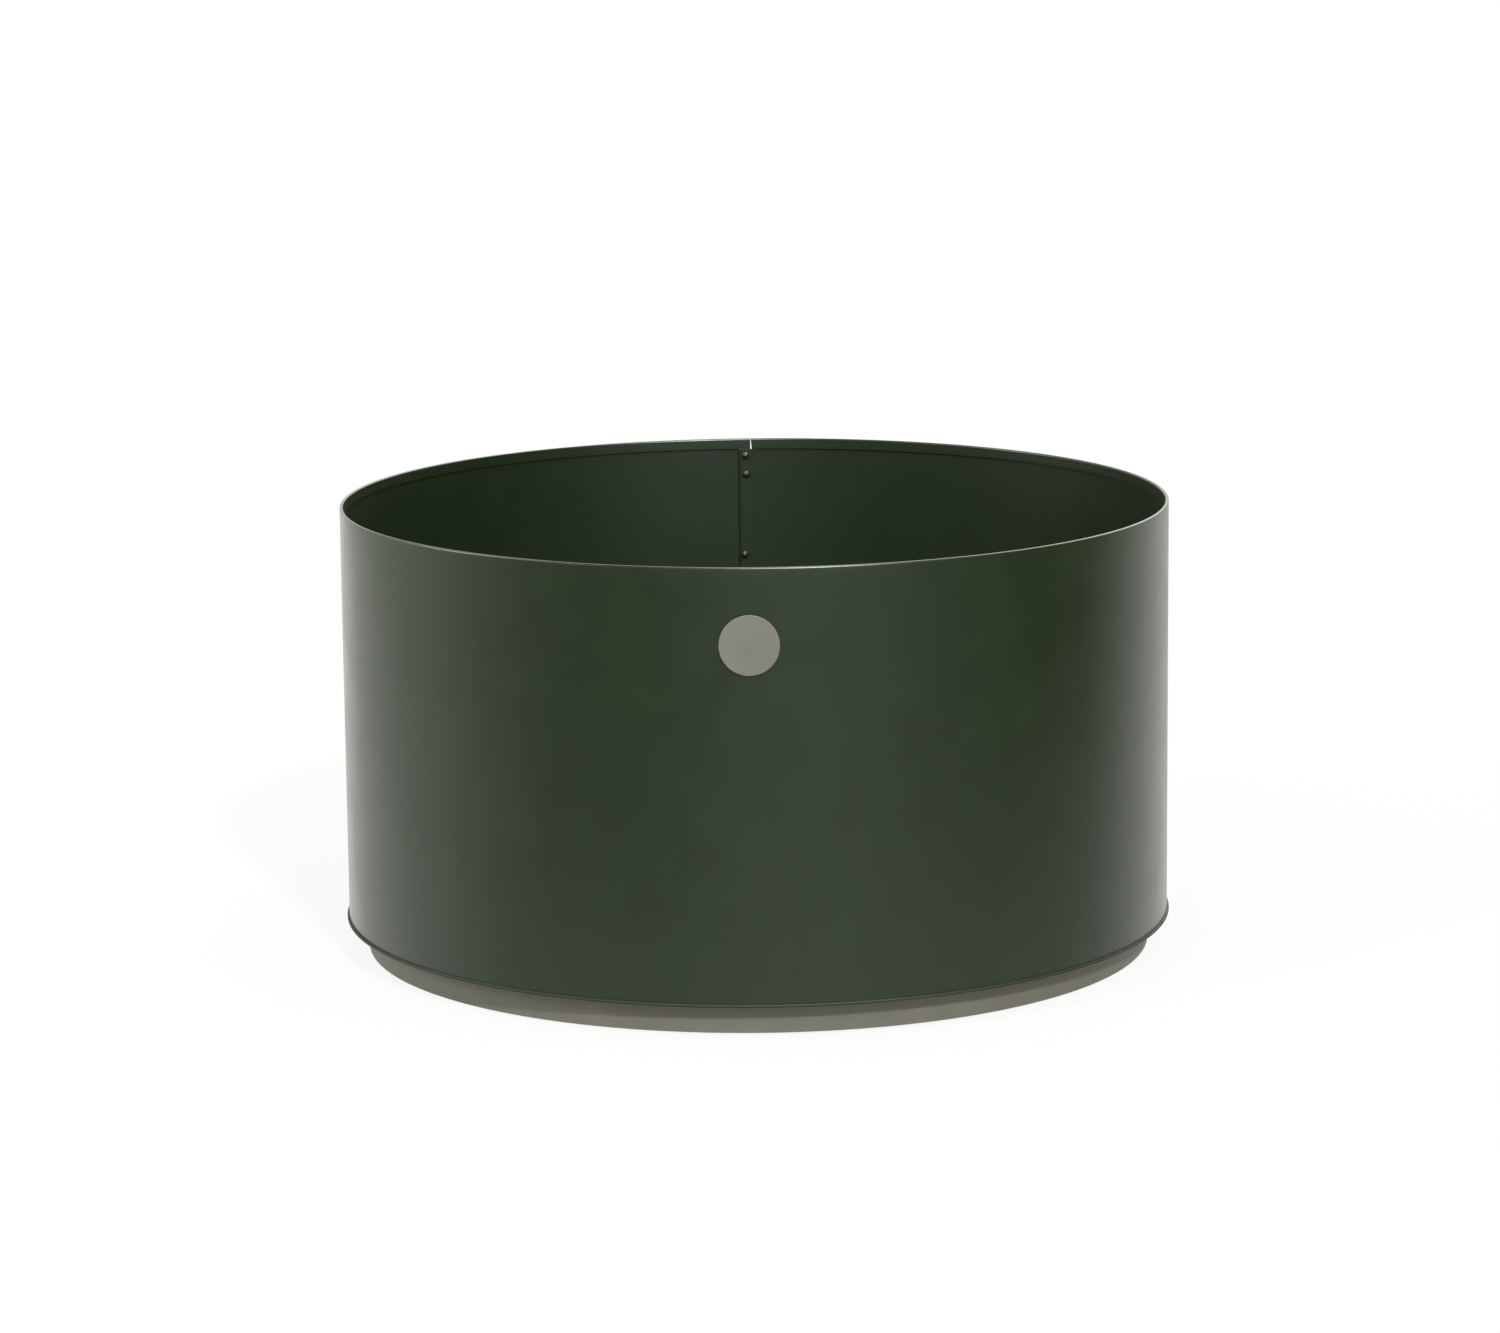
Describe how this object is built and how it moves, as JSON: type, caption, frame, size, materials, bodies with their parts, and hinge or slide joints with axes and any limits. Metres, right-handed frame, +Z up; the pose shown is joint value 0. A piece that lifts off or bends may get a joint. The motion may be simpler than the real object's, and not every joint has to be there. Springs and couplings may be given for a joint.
{
  "type": "round planter",
  "caption": "Round drum planter of rolled sheet aluminium with a folded rim, riveted rear seam, lipped floor plate, set-back plinth ring and a bare badge disc.",
  "frame": {"origin": "on the ground, on the drum's axis, level with the undersides of the glides", "axes": "+Z up along the drum's axis, -Y to the front with the badge, +Y to the rear with the seam, +X to the right seen from the front"},
  "size_m": [0.7439, 0.7451, 0.4025],
  "materials": {
    "green_coat": "fine satin powder coat",
    "taupe_coat": "matt powder coat",
    "bare_aluminium": "mill finish",
    "stainless_steel": "plain",
    "gasket_rubber": "matt",
    "glide_nylon": "moulded"
  },
  "bodies": {
    "root": {"badge_disc": "taupe_coat", "badge_gasket": "gasket_rubber", "badge_nuts": "stainless_steel", "badge_washers": "stainless_steel", "bearer_left": "bare_aluminium", "bearer_middle": "bare_aluminium", "bearer_right": "bare_aluminium", "bearer_rivet_mandrels": "stainless_steel", "bearer_rivets": "bare_aluminium", "floor_plate": "green_coat", "floor_rivet_mandrels": "stainless_steel", "floor_rivets": "bare_aluminium", "glide_left_centre": "glide_nylon", "glide_left_front": "glide_nylon", "glide_left_rear": "glide_nylon", "glide_middle_centre": "glide_nylon", "glide_middle_front": "glide_nylon", "glide_middle_rear": "glide_nylon", "glide_right_centre": "glide_nylon", "glide_right_front": "glide_nylon", "glide_right_rear": "glide_nylon", "glide_rivet_nuts": "stainless_steel", "glide_screws": "stainless_steel", "plinth_ring": "taupe_coat", "plinth_rivet_mandrels": "stainless_steel", "plinth_rivets": "bare_aluminium", "plinth_splice": "bare_aluminium", "seam_rivet_mandrels": "green_coat", "seam_rivets": "green_coat", "splice_rivet_mandrels": "stainless_steel", "splice_rivets": "bare_aluminium", "wall_sheet": "green_coat"}
  },
  "joints": []
}
